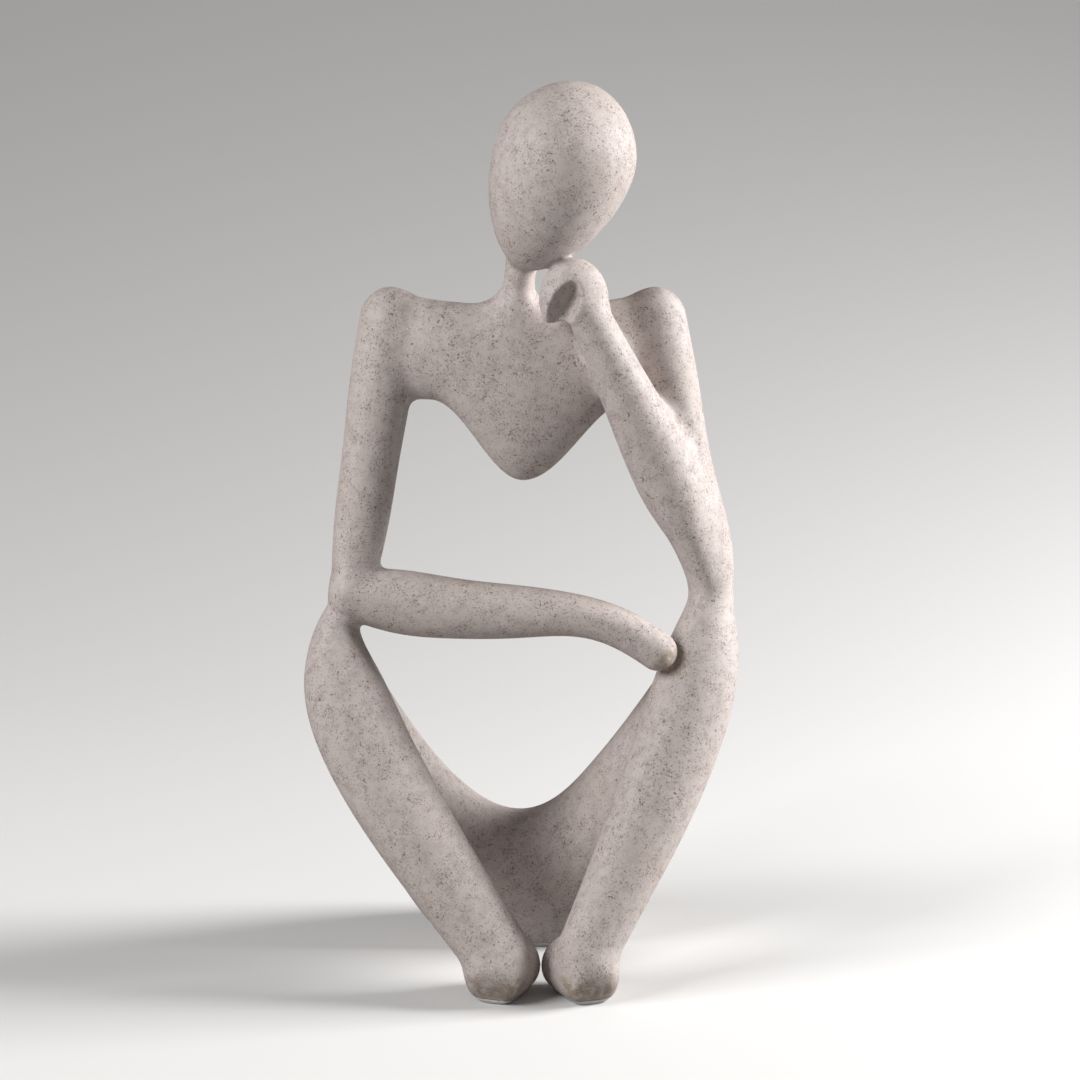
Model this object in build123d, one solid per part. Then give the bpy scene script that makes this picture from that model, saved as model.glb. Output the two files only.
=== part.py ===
from build123d import *
import os
from math import hypot, pi, sin, sqrt

# A seated thinking figure cast in resin parts that are pinned and bonded at the joints of the body.
# Millimetres, Z up, the figure faces -Y, its right side is at -X. The floor is Z = 0.

# Thighs and seat: one parabola from knee to knee
knee_reach = 52.0
saddle_rise = 76.0
saddle_height = 14.4
saddle_setback = 24.6
saddle_depth = 27.7
saddle_shift = -1.0
fan_rise = 80.0
lap_lift = 23.2
right_lap_gain = 9.0
left_lap_gain = 16.0
knee_height = saddle_height + saddle_rise
knee_setback = saddle_setback - saddle_depth

# Elbows on the knees, the right hand and the ankles
right_rest = Vector(saddle_shift - knee_reach + 1.0, knee_setback - 0.9, knee_height + 14.3)
left_rest = Vector(saddle_shift + knee_reach + 3.3, knee_setback - 0.9, knee_height + 19.9)
right_elbow = right_rest + Vector(2.4, -1.0, 7.3)
left_elbow = left_rest + Vector(-0.3, -0.5, -2.3)
right_hand = left_rest + Vector(-15.9, -15.0, -12.1)
right_ankle = Vector(-6.4, -36.0, 12.0)
left_ankle = Vector(18.6, -36.6, 15.0)

# Shoulders and chest: each height is a step up from the one below it
shoulder_reach = 38.0
shoulder_setback = 5.0
shoulder_radius = 8.7
shoulder_half_depth = 8.2
chest_setback = -1.0
chest_half_depth = 9.7
waist_gap = 32.5
armpit_rise = 23.0
right_armpit_share = 0.7
left_armpit_share = 0.84
shoulder_rise = 23.0
collar_rise = 4.5
yoke_inset = 1.2
chest_tip_height = right_elbow.Z + waist_gap
armpit_height = chest_tip_height + armpit_rise
shoulder_height = armpit_height + shoulder_rise
collar_height = shoulder_height + collar_rise
yoke_height = shoulder_height + shoulder_radius - yoke_inset

# Head and neck, and the left wrist below the chin
chin = Vector(-0.5, -9.0, collar_height + 11.5)
crown = chin + Vector(20.3, 4.0, 51.1)
head_radius = 20.0
head_widest_share = 0.61
chin_fullness = 0.46
cheek_fullness = 0.47
crown_fullness = 0.515
neck_base = Vector(-2.5, 2.0, collar_height - 5.0)
neck_top = Vector(0.5, -4.0, collar_height + 19.0)
left_wrist = chin + Vector(17.5, -6.5, -9.0)

# How far each limb bows from its straight line
straight = Vector(0, 0, 0)
right_forearm_bow = Vector(0, 0, 6.0)
right_forearm_skew = 2.5
left_forearm_bow = Vector(3.2, 0, 0)
left_forearm_skew = 0.55
left_arm_bow = Vector(2.3, 0, 0)
left_arm_skew = 4.0
right_shin_bow = Vector(-12.4, 0, 0)
right_shin_skew = 0.66
left_shin_bow = Vector(5.8, 0, 0)
left_shin_skew = 0.75
rest_overlap = 3.0
section_step = 0.01

# Half widths and half depths of each limb at shares of its length
right_arm_profile = (
    (0, 8.7, 8.7), (0.25, 9.0, 8.7), (0.5, 8.3, 8.2), (0.75, 7.8, 7.7), (1, 5.8, 7.8),
)
left_arm_profile = (
    (0, 8.7, 8.7), (0.25, 8.7, 8.7), (0.5, 7.8, 8.2), (0.75, 7.7, 7.9), (1, 4.8, 5.6),
)
right_forearm_profile = (
    (0, 7.4, 8.2), (0.15, 9.2, 8.2), (0.35, 8.7, 7.6), (0.55, 7.6, 7.1),
    (0.75, 6.0, 6.5), (0.9, 5.7, 5.9), (1, 5.6, 5.6),
)
left_forearm_profile = (
    (0, 4.2, 5.2), (0.12, 4.4, 6.6), (0.25, 6.4, 7.9), (0.37, 8.6, 8.4), (0.5, 9.0, 8.2),
    (0.62, 8.3, 7.9), (0.75, 7.2, 7.4), (0.87, 6.3, 7.0), (1, 5.8, 6.7),
)
neck_profile = (
    (0, 10.0, 8.0), (0.2, 6.4, 6.8), (0.45, 4.5, 5.7), (0.75, 4.6, 5.6), (1, 5.0, 6.2),
)
right_shin_profile = (
    (0, 4.6, 5.8), (0.08, 7.2, 8.8), (0.2, 11.0, 11.2), (0.4, 12.8, 11.8),
    (0.6, 12.2, 11.3), (0.8, 10.9, 10.2), (1, 9.6, 9.2),
)
left_shin_profile = (
    (0, 4.4, 5.4), (0.08, 7.7, 8.8), (0.2, 10.9, 11.3), (0.4, 12.2, 11.8),
    (0.6, 11.6, 11.3), (0.8, 10.1, 10.2), (1, 8.7, 9.0),
)
saddle_profile = (
    (0, 23.2, 20.5), (0.25, 22.0, 20.0), (0.45, 18.2, 18.0), (0.62, 14.8, 15.4),
    (0.78, 11.8, 13.2), (0.92, 9.6, 11.3), (1, 8.1, 9.2),
)

# Left hand and feet
hand_centre = left_wrist + Vector(-2.7, 1.5, 1.1)
hand_radii = (9.7, 7.5, 11.5)
finger_drop = 5.2
finger_slope = 0.25
palm_centre = left_wrist + Vector(-6.0, -6.0, -1.1)
palm_radii = (3.7, 6.8, 8.6)
palm_lean = 25.0
right_heel = Vector(-2.8, -28.5, 8.0)
right_toe = Vector(-8.6, -40.0, 6.8)
left_heel = Vector(12.9, -28.5, 8.0)
left_toe = Vector(20.0, -40.4, 6.8)
foot_profile = ((0, 8.2, 8.0), (0.5, 8.4, 8.2), (1, 7.8, 7.8))

# How far the rounded ends reach past the limbs
elbow_end = 6.0
elbow_swell = 1.03
ankle_end = 8.0
heel_end = 6.5
toe_end = 5.6

# Seams between the castings
seam_margin = 1.3
shoulder_seam = shoulder_reach - shoulder_radius - seam_margin
right_cuff_rise = 14.0
left_cuff_rise = 40.0
right_elbow_seam = right_elbow.Z + right_cuff_rise
left_elbow_seam = left_elbow.Z + left_cuff_rise
hip_seam = 30.0
right_rest_normal = Vector(0.6, 0.0, 0.8)
left_rest_normal = Vector(-0.23, 0.0, 0.97)

# Pins and pads
pin_clearance = 0.1
pin_end_gap = 0.6
neck_pin_diameter = 4.0
neck_pin_length = 24.0
shoulder_pin_diameter = 6.0
shoulder_pin_length = 26.0
elbow_pin_diameter = 5.0
elbow_pin_length = 18.0
rest_pin_diameter = 4.0
rest_pin_length = 14.0
knee_pin_diameter = 5.0
knee_pin_length = 18.0
hip_pin_diameter = 8.0
hip_pin_length = 28.0
neck_seat_share = 0.745
knee_pin_shin_share = 0.2
knee_pin_thigh_share = 0.9
knee_seat_share = 0.75
pad_thickness = 1.5


def ellipse_at(origin, direction, half_width, half_depth):
    """One elliptical section, square to the limb, its width across the figure's depth."""
    sideways = direction.cross(Vector(0, 1, 0)).normalized()
    return Plane(origin, x_dir=sideways, z_dir=direction) * Ellipse(half_width, half_depth)


def on_limb(start, end, bow, skew, share):
    """A point along a limb: the straight line between its joints plus a bow that follows a sine."""
    return start + (end - start) * share + bow * sin(pi * share**skew)


def limb(start, end, profile, bow=straight, skew=1.0):
    """A limb from joint to joint, lofted through the elliptical sections of its profile."""
    sections = []
    for share, half_width, half_depth in profile:
        before = on_limb(start, end, bow, skew, max(share - section_step, 0))
        after = on_limb(start, end, bow, skew, min(share + section_step, 1))
        centre = on_limb(start, end, bow, skew, share)
        sections.append(ellipse_at(centre, (after - before).normalized(), half_width, half_depth))
    return loft(sections)


def ellipsoid(centre, radii):
    return Pos(centre) * scale(Sphere(1), by=radii)


def rounded_end(centre, direction, row, length):
    """Half of it closes a limb's last section, and the other half lies inside the limb."""
    sideways = direction.cross(Vector(0, 1, 0)).normalized()
    _, half_width, half_depth = row
    radii = (half_width, half_depth, length)
    return Plane(centre, x_dir=sideways, z_dir=direction) * scale(Sphere(1), by=radii)


def leg(knee_top, ankle, profile, bow, skew, heel, toe):
    """A shin with its foot, which is turned out and rounded at the ankle, heel and toe."""
    shin_form = limb(knee_top, ankle, profile, bow, skew)
    landing = ankle - on_limb(knee_top, ankle, bow, skew, 1 - section_step)
    shin_form += rounded_end(ankle, landing, profile[-1], ankle_end)
    foot_form = limb(heel, toe, foot_profile)
    foot_form += rounded_end(heel, toe - heel, foot_profile[0], heel_end)
    foot_form += rounded_end(toe, toe - heel, foot_profile[-1], toe_end)
    return shin_form + foot_form


def saddle_point(share):
    """A point on the parabola of the thighs; share runs from -1 at the right knee to 1 at the left knee."""
    bend = share**2
    back = saddle_setback - saddle_depth * bend
    return Vector(saddle_shift + knee_reach * share, back, saddle_height + saddle_rise * bend)


def saddle_direction(share):
    return (saddle_point(share + section_step) - saddle_point(share - section_step)).normalized()


def saddle_section(share, half_width, half_depth):
    """A section of the thighs and seat: half an ellipse below, and half of one that reaches the lap above.

    The sections fan out from points above the seat. The lap is the thighs' parabola, lifted.
    """
    fan_height = knee_reach**2 / (2 * saddle_rise) + fan_rise * (1 - share**2) ** 3
    up = Vector(-knee_reach * share, 0, fan_height).normalized()
    climb = 2 * saddle_rise * share
    run = hypot(knee_reach, climb)
    squareness = (up.Z * knee_reach - up.X * climb) / run
    lap = lap_lift + (right_lap_gain if share < 0 else left_lap_gain) * (share**2 - share**6)
    curve = saddle_rise / knee_reach**2
    climbing = up.Z - 2 * curve * knee_reach * share * up.X
    to_lap = 2 * lap / (climbing + sqrt(climbing**2 - 4 * curve * up.X**2 * lap))
    depth = half_depth * hypot(run, 2 * saddle_depth * share) / run
    upper = EllipticalCenterArc((0, 0), to_lap, depth, start_angle=-90, arc_size=180)
    lower = EllipticalCenterArc((0, 0), half_width / squareness, depth, start_angle=90, arc_size=180)
    section_plane = Plane(saddle_point(share), x_dir=up, z_dir=up.cross(Vector(0, 1, 0)))
    return section_plane * make_face([upper, lower])


def pin_at(centre, direction, diameter, length):
    return Plane(centre, z_dir=direction) * Cylinder(diameter / 2, length)


def bore_at(centre, direction, diameter, length):
    return pin_at(centre, direction, diameter + 2 * pin_clearance, length + 2 * pin_end_gap)


def above(form, origin, normal):
    return split(form, bisect_by=Plane(origin, z_dir=normal), keep=Keep.TOP)


def below(form, origin, normal):
    return split(form, bisect_by=Plane(origin, z_dir=normal), keep=Keep.BOTTOM)


def chest_section(share):
    """A section of the chest across its depth; share is 0 at the breastbone and 1 in the shoulder."""
    reach = abs(share)
    armpit_share = right_armpit_share if share < 0 else left_armpit_share
    arch = sin(pi / 2 * min(1, reach / armpit_share)) ** 2
    low = chest_tip_height + (armpit_height - chest_tip_height) * arch
    high = collar_height + (yoke_height - collar_height) * reach**2
    back = chest_setback + (shoulder_setback - chest_setback) * reach**2
    half_depth = chest_half_depth + (shoulder_half_depth - chest_half_depth) * reach
    centre = Vector(shoulder_reach * share, back, (low + high) / 2)
    return Plane(centre, x_dir=(0, 0, 1), z_dir=(1, 0, 0)) * Ellipse((high - low) / 2, half_depth)


# Whole forms, before they are parted at the seams
right_shoulder = Vector(-shoulder_reach, shoulder_setback, shoulder_height)
left_shoulder = Vector(shoulder_reach, shoulder_setback, shoulder_height)
half_chest = (0.16, 0.32, 0.48, 0.64, 0.82, 1)
chest_shares = [-share for share in reversed(half_chest)] + [0, *half_chest]
chest_form = loft([chest_section(share) for share in chest_shares])
neck_form = limb(neck_base, neck_top, neck_profile)

head_axis = crown - chin
head_length = head_axis.length
head_centre = chin + head_axis * head_widest_share
chin_drop = head_length * head_widest_share
crown_rise = head_length - chin_drop
cheek = (head_radius, -chin_drop * cheek_fullness)
temple = (head_radius, crown_rise * crown_fullness)
lower_curve = Bezier((0, -chin_drop), (head_radius * chin_fullness, -chin_drop), cheek, (head_radius, 0))
upper_curve = Bezier((head_radius, 0), temple, (head_radius * crown_fullness, crown_rise), (0, crown_rise))
head_outline = make_face([lower_curve, upper_curve, Line(upper_curve @ 1, lower_curve @ 0)])
head_form = Plane(head_centre, z_dir=head_axis) * revolve(Plane.XZ * head_outline, Axis.Z)

right_arm_form = limb(right_shoulder, right_elbow, right_arm_profile)
right_arm_form += Pos(right_shoulder) * Sphere(shoulder_radius)
left_arm_form = limb(left_shoulder, left_elbow, left_arm_profile, left_arm_bow, left_arm_skew)
left_arm_form += Pos(left_shoulder) * Sphere(shoulder_radius)
right_forearm_form = limb(
    right_elbow, right_hand, right_forearm_profile, right_forearm_bow, right_forearm_skew
)
elbow_row = [size * elbow_swell for size in right_forearm_profile[0]]
right_forearm_form += rounded_end(right_elbow, right_hand - right_elbow, elbow_row, elbow_end)
right_forearm_form += Pos(right_hand) * Sphere(right_forearm_profile[-1][1])
finger_end = hand_centre - Vector(0, 0, finger_drop)
hand_form = above(ellipsoid(hand_centre, hand_radii), finger_end, Vector(-finger_slope, 0, 1))
hand_form -= Pos(palm_centre) * Rot(0, palm_lean, 0) * scale(Sphere(1), by=palm_radii)
left_forearm_form = limb(left_elbow, left_wrist, left_forearm_profile, left_forearm_bow, left_forearm_skew)
left_forearm_form += hand_form

right_knee_top = right_rest + right_rest_normal * rest_overlap
left_knee_top = left_rest + left_rest_normal * rest_overlap
right_shin_form = leg(
    right_knee_top, right_ankle, right_shin_profile, right_shin_bow, right_shin_skew, right_heel, right_toe
)
left_shin_form = leg(
    left_knee_top, left_ankle, left_shin_profile, left_shin_bow, left_shin_skew, left_heel, left_toe
)
saddle_rows = [(-s, w, d) for s, w, d in reversed(saddle_profile[1:])] + list(saddle_profile)
saddle_form = loft([saddle_section(*row) for row in saddle_rows])

# Castings: the forms parted at the seam planes and coped where one rounded form meets another
across = Vector(1, 0, 0)
upward = Vector(0, 0, 1)
floor_level = Vector(0, 0, 0)
sole_level = Vector(0, 0, pad_thickness)
shoulder_plane = Vector(shoulder_seam, 0, 0)
hip_plane = Vector(hip_seam, 0, 0)
right_elbow_plane = Vector(0, 0, right_elbow_seam)
left_elbow_plane = Vector(0, 0, left_elbow_seam)

torso = above(below(chest_form, shoulder_plane, across), -shoulder_plane, across) + neck_form
torso = torso - head_form - left_forearm_form

right_upper_arm = above(right_arm_form, right_elbow_plane, upward)
right_upper_arm += below(chest_form, -shoulder_plane, across)
left_upper_arm = above(left_arm_form, left_elbow_plane, upward)
left_upper_arm += above(chest_form, shoulder_plane, across)
left_upper_arm -= left_forearm_form

right_forearm = right_forearm_form + below(right_arm_form, right_elbow_plane, upward)
right_forearm = above(right_forearm, right_rest, right_rest_normal) - left_shin_form - saddle_form
left_forearm = left_forearm_form + below(left_arm_form, left_elbow_plane, upward)
left_forearm = above(left_forearm, left_rest, left_rest_normal) - head_form

right_shin = above(below(right_shin_form, right_rest, right_rest_normal), sole_level, upward)
left_shin = above(below(left_shin_form, left_rest, left_rest_normal), sole_level, upward)
right_thigh = above(below(saddle_form, -hip_plane, across), sole_level, upward) - right_shin_form
left_thigh = above(above(saddle_form, hip_plane, across), sole_level, upward) - left_shin_form
seat_form = above(below(saddle_form, hip_plane, across), -hip_plane, across)

castings = {
    "head": head_form,
    "torso": torso,
    "right_upper_arm": right_upper_arm,
    "left_upper_arm": left_upper_arm,
    "right_forearm": right_forearm,
    "left_forearm": left_forearm,
    "pelvis": above(seat_form, sole_level, upward),
    "right_thigh": right_thigh,
    "left_thigh": left_thigh,
    "right_shin": right_shin,
    "left_shin": left_shin,
}

# Rest pads: the slice of each form between the floor and the sole
pads = {
    "seat_pad": below(above(seat_form, floor_level, upward), sole_level, upward),
    "right_foot_pad": below(above(right_shin_form, floor_level, upward), sole_level, upward),
    "left_foot_pad": below(above(left_shin_form, floor_level, upward), sole_level, upward),
}

# Pins: each one is centred on its seam and runs along the limb
neck_seat = neck_base + (neck_top - neck_base) * neck_seat_share
shoulder_middle = (armpit_height + yoke_height) / 2
shoulder_depth = chest_setback + (shoulder_setback - chest_setback) * (shoulder_seam / shoulder_reach) ** 2


def on_arm(shoulder, elbow, bow, skew, height):
    """The centre of an upper arm at a height, and the arm's direction."""
    share = (shoulder.Z - height) / (shoulder.Z - elbow.Z)
    return on_limb(shoulder, elbow, bow, skew, share), elbow - shoulder


def knee_seat(shin_place, side):
    """The centre and direction of a knee pin, which runs from the shin's centre to the thigh's."""
    thigh_place = saddle_point(side * knee_pin_thigh_share)
    return shin_place + (thigh_place - shin_place) * knee_seat_share, thigh_place - shin_place


right_hip = -(hip_seam + saddle_shift) / knee_reach
left_hip = (hip_seam - saddle_shift) / knee_reach
right_knee = on_limb(right_knee_top, right_ankle, right_shin_bow, right_shin_skew, knee_pin_shin_share)
left_knee = on_limb(left_knee_top, left_ankle, left_shin_bow, left_shin_skew, knee_pin_shin_share)
right_shoulder_seat = Vector(-shoulder_seam, shoulder_depth, shoulder_middle)
left_shoulder_seat = Vector(shoulder_seam, shoulder_depth, shoulder_middle)
right_elbow_seat = on_arm(right_shoulder, right_elbow, straight, 1.0, right_elbow_seam)
left_elbow_seat = on_arm(left_shoulder, left_elbow, left_arm_bow, left_arm_skew, left_elbow_seam)

# For each node of pins: diameter, length, then a seat and the two castings that each pin joins
pins = {
    "neck_pin": (
        neck_pin_diameter,
        neck_pin_length,
        [((neck_seat, neck_top - neck_base), ("torso", "head"))],
    ),
    "shoulder_pins": (
        shoulder_pin_diameter,
        shoulder_pin_length,
        [
            ((right_shoulder_seat, across), ("torso", "right_upper_arm")),
            ((left_shoulder_seat, across), ("torso", "left_upper_arm")),
        ],
    ),
    "elbow_pins": (
        elbow_pin_diameter,
        elbow_pin_length,
        [
            (right_elbow_seat, ("right_upper_arm", "right_forearm")),
            (left_elbow_seat, ("left_upper_arm", "left_forearm")),
        ],
    ),
    "elbow_rest_pins": (
        rest_pin_diameter,
        rest_pin_length,
        [
            ((right_rest, right_rest_normal), ("right_forearm", "right_shin")),
            ((left_rest, left_rest_normal), ("left_forearm", "left_shin")),
        ],
    ),
    "knee_pins": (
        knee_pin_diameter,
        knee_pin_length,
        [
            (knee_seat(right_knee, -1), ("right_shin", "right_thigh")),
            (knee_seat(left_knee, 1), ("left_shin", "left_thigh")),
        ],
    ),
    "hip_pins": (
        hip_pin_diameter,
        hip_pin_length,
        [
            ((saddle_point(right_hip), saddle_direction(right_hip)), ("pelvis", "right_thigh")),
            ((saddle_point(left_hip), saddle_direction(left_hip)), ("pelvis", "left_thigh")),
        ],
    ),
}

nodes = dict(pads)
for pin_node, (diameter, length, seats) in pins.items():
    solids = []
    for (centre, direction), joined in seats:
        solids.append(pin_at(centre, direction, diameter, length))
        for casting in joined:
            castings[casting] -= bore_at(centre, direction, diameter, length)
    nodes[pin_node] = Compound(solids) if len(solids) > 1 else solids[0]
nodes.update(castings)

# The origin is on the floor, at the middle of the figure's width and depth
boxes = [solid.bounding_box() for solid in nodes.values()]
middle_x = (min(box.min.X for box in boxes) + max(box.max.X for box in boxes)) / 2
middle_y = (min(box.min.Y for box in boxes) + max(box.max.Y for box in boxes)) / 2
os.makedirs("parts", exist_ok=True)
for name, solid in nodes.items():
    export_step(Pos(-middle_x, -middle_y, 0) * solid, f"parts/{name}.step")
    print(f"{name}: {len(solid.solids())} solid, {solid.volume / 1000:.1f} cm3")
print(f"middle of the figure: {middle_x:.2f}, {middle_y:.2f}")
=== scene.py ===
import math

import bpy
import numpy as np
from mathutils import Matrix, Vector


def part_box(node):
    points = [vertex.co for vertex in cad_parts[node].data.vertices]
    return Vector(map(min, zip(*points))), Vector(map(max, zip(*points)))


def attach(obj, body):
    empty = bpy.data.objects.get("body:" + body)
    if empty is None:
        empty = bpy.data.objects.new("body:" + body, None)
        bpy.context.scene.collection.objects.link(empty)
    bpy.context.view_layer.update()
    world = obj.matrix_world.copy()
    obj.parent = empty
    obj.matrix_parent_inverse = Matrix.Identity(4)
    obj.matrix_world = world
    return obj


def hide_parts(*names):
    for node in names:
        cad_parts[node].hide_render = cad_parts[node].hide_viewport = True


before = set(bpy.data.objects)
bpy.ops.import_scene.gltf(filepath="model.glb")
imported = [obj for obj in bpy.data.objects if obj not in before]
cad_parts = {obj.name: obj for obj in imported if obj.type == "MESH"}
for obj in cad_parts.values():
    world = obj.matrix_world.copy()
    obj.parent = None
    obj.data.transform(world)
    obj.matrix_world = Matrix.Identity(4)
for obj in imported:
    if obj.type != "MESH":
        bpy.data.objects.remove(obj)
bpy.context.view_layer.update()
print("frame loaded")

mm = 0.001
# field value away from a form, the room round a form where its field counts, and the least share of a bow
farAway = 30.0
margin = 12.0
leastShare = 0.02

# millimetres, before the drawing was centred over its floor point; the figure faces -Y, its right is -X
rightArm = {
    "start": (-38.0, 5.0, 190.5), "end": (-49.6, -5.0, 112.0), "bow": (0, 0, 0), "skew": 1.0,
    "rows": [(0, 8.7, 8.7), (0.25, 9.0, 8.7), (0.5, 8.3, 8.2), (0.75, 7.8, 7.7), (1, 5.8, 7.8)],
    "caps": (8.7, 5.0),
}
leftArm = {
    "start": (38.0, 5.0, 190.5), "end": (54.0, -4.5, 108.0), "bow": (2.3, 0, 0), "skew": 4.0,
    "rows": [(0, 8.7, 8.7), (0.25, 8.7, 8.7), (0.5, 7.8, 8.2), (0.75, 7.7, 7.9), (1, 4.8, 5.6)],
    "caps": (8.7, 4.0),
}
rightForearm = {
    "start": (-49.6, -5.0, 112.0), "end": (38.4, -19.0, 98.2), "bow": (0, 0, 6.0), "skew": 2.5,
    "rows": [
        (0, 7.4, 8.2), (0.15, 9.2, 8.2), (0.35, 8.7, 7.6), (0.55, 7.6, 7.1),
        (0.75, 6.0, 6.5), (0.9, 5.7, 5.9), (1, 5.6, 5.6),
    ],
    "caps": (6.0, 5.6),
}
leftForearm = {
    "start": (54.0, -4.5, 108.0), "end": (17.0, -15.5, 197.5), "bow": (3.2, 0, 0), "skew": 0.55,
    "rows": [
        (0, 4.2, 5.2), (0.12, 4.4, 6.6), (0.25, 6.4, 7.9), (0.37, 8.6, 8.4), (0.5, 9.0, 8.2),
        (0.62, 8.3, 7.9), (0.75, 7.2, 7.4), (0.87, 6.3, 7.0), (1, 5.8, 6.7),
    ],
    "caps": (3.0, 5.0),
}
neck = {
    "start": (-2.5, 2.0, 190.0), "end": (0.5, -4.0, 214.0), "bow": (0, 0, 0), "skew": 1.0,
    "rows": [(0, 10.0, 8.0), (0.2, 6.4, 6.8), (0.45, 4.5, 5.7), (0.75, 4.6, 5.6), (1, 5.0, 6.2)],
    "caps": (3.0, 4.0), "pinShare": 0.745,
}
rightShin = {
    "start": (-50.2, -4.0, 107.1), "end": (-6.4, -36.0, 12.0), "bow": (-12.4, 0, 0), "skew": 0.66,
    "rows": [
        (0, 4.6, 5.8), (0.08, 7.2, 8.8), (0.2, 11.0, 11.2), (0.4, 12.8, 11.8),
        (0.6, 12.2, 11.3), (0.8, 10.9, 10.2), (1, 9.6, 9.2),
    ],
    "caps": (3.0, 8.0),
}
leftShin = {
    "start": (53.61, -4.0, 113.21), "end": (18.6, -36.6, 15.0), "bow": (5.8, 0, 0), "skew": 0.75,
    "rows": [
        (0, 4.4, 5.4), (0.08, 7.7, 8.8), (0.2, 10.9, 11.3), (0.4, 12.2, 11.8),
        (0.6, 11.6, 11.3), (0.8, 10.1, 10.2), (1, 8.7, 9.0),
    ],
    "caps": (3.0, 8.0),
}
rightFoot = {
    "start": (-2.8, -28.5, 8.0), "end": (-8.6, -40.0, 6.8), "bow": (0, 0, 0), "skew": 1.0,
    "rows": [(0, 8.2, 8.0), (0.5, 8.4, 8.2), (1, 7.8, 7.8)], "caps": (6.5, 5.6),
    "facet": (-0.29, -0.84, -0.47), "facetOut": 36.7,
}
leftFoot = {
    "start": (12.9, -28.5, 8.0), "end": (20.0, -40.4, 6.8), "bow": (0, 0, 0), "skew": 1.0,
    "rows": [(0, 8.2, 8.0), (0.5, 8.4, 8.2), (1, 7.8, 7.8)], "caps": (6.5, 5.6),
    "facet": (0.29, -0.84, -0.47), "facetOut": 40.3,
}


def splineTable(rows, count=400):
    # natural cubic spline through each column of the rows, read off at even shares
    rows = np.array(rows, float)
    places = rows[:, 0]
    sizes = rows[:, 1:]
    gaps = np.diff(places)
    inner = np.arange(1, len(places) - 1)
    bend = np.eye(len(places))
    bend[inner, inner - 1] = gaps[:-1]
    bend[inner, inner] = 2 * (gaps[:-1] + gaps[1:])
    bend[inner, inner + 1] = gaps[1:]
    wanted = np.zeros_like(sizes)
    wanted[inner] = 6 * np.diff(np.diff(sizes, axis=0) / gaps[:, None], axis=0)
    second = np.linalg.solve(bend, wanted)
    shares = np.linspace(places[0], places[-1], count)
    cell = np.clip(np.searchsorted(places, shares) - 1, 0, len(gaps) - 1)
    gap = gaps[cell][:, None]
    after = (shares - places[cell])[:, None] / gap
    before = 1 - after
    curve = (before**3 - before) * second[cell] + (after**3 - after) * second[cell + 1]
    return shares, before * sizes[cell] + after * sizes[cell + 1] + curve * gap**2 / 6


def scaledGap(parts, radii):
    # distance to an ellipse or ellipsoid: k (k - 1) / g, with k the scaled radius and g its slope
    ratio = sum((part / radius) ** 2 for part, radius in zip(parts, radii))
    slope = sum((part / radius**2) ** 2 for part, radius in zip(parts, radii))
    scaled = np.sqrt(ratio)
    return scaled * (scaled - 1) / (np.sqrt(slope) + 1e-9)


def onLimb(limb, share):
    # straight line from joint to joint, plus a bow that follows a sine of the skewed share
    line = limb["start"] + (limb["end"] - limb["start"]) * share[:, None]
    return line + limb["bow"] * np.sin(math.pi * share ** limb["skew"])[:, None]


def limbSlope(limb, share):
    skewed = np.maximum(share, leastShare) ** limb["skew"]
    rate = math.pi * limb["skew"] * skewed / np.maximum(share, leastShare) * np.cos(math.pi * skewed)
    return limb["end"] - limb["start"] + limb["bow"] * rate[:, None]


def limbField(points, limb):
    # walk to the nearest share of the path, then measure to the elliptical section there
    reach = limb["end"] - limb["start"]
    share = np.clip((points - limb["start"]) @ reach / (reach @ reach), 0, 1)
    for walk in range(6):
        slope = limbSlope(limb, share)
        ahead = ((points - onLimb(limb, share)) * slope).sum(1) / (slope * slope).sum(1)
        share = np.clip(share + ahead, 0, 1)
    along = limbSlope(limb, share)
    along /= np.linalg.norm(along, axis=1)[:, None]
    sideways = np.cross(along, (0, 1, 0))
    sideways /= np.linalg.norm(sideways, axis=1)[:, None]
    deep = np.cross(sideways, along)
    offset = points - onLimb(limb, share)
    parts = [(offset * axis).sum(1) for axis in (sideways, deep, along)]
    halfWidth = np.interp(share, limb["table"][0], limb["table"][1][:, 0])
    halfDepth = np.interp(share, limb["table"][0], limb["table"][1][:, 1])
    cap = np.where(share < 0.5, limb["caps"][0], limb["caps"][1])
    return scaledGap(parts, (halfWidth, halfDepth, cap))


def readyLimb(limb):
    # turns the typed rows into arrays and adds the box outside which the limb is simply far away
    for name in ("start", "end", "bow"):
        limb[name] = np.array(limb[name], float)
    limb["table"] = splineTable(limb["rows"])
    path = onLimb(limb, np.linspace(0, 1, 60))
    room = limb["table"][1].max() + margin
    limb["low"] = path.min(0) - room
    limb["high"] = path.max(0) + room
    limb["field"] = limbField


def ellipsoidField(points, blob):
    # the blob may lean to the figure's left by an angle in its own front plane
    offset = points - blob["centre"]
    lean = math.radians(blob.get("lean", 0))
    across = offset[:, 0] * math.cos(lean) - offset[:, 2] * math.sin(lean)
    along = offset[:, 0] * math.sin(lean) + offset[:, 2] * math.cos(lean)
    return scaledGap((across, offset[:, 1], along), blob["radii"])


def readyBlob(blob):
    blob["centre"] = np.array(blob["centre"], float)
    blob["low"] = blob["centre"] - max(blob["radii"]) - margin
    blob["high"] = blob["centre"] + max(blob["radii"]) + margin
    blob["field"] = ellipsoidField


chest = {
    "shoulderReach": 38.0, "collar": 195.0, "yoke": 198.0, "tip": 144.5, "armpit": 167.5,
    "armpitShare": (0.7, 0.84), "setback": -1.0, "shoulderSetback": 5.0, "halfDepth": 9.7,
    "shoulderHalfDepth": 8.2, "cap": 6.0,
}


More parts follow.
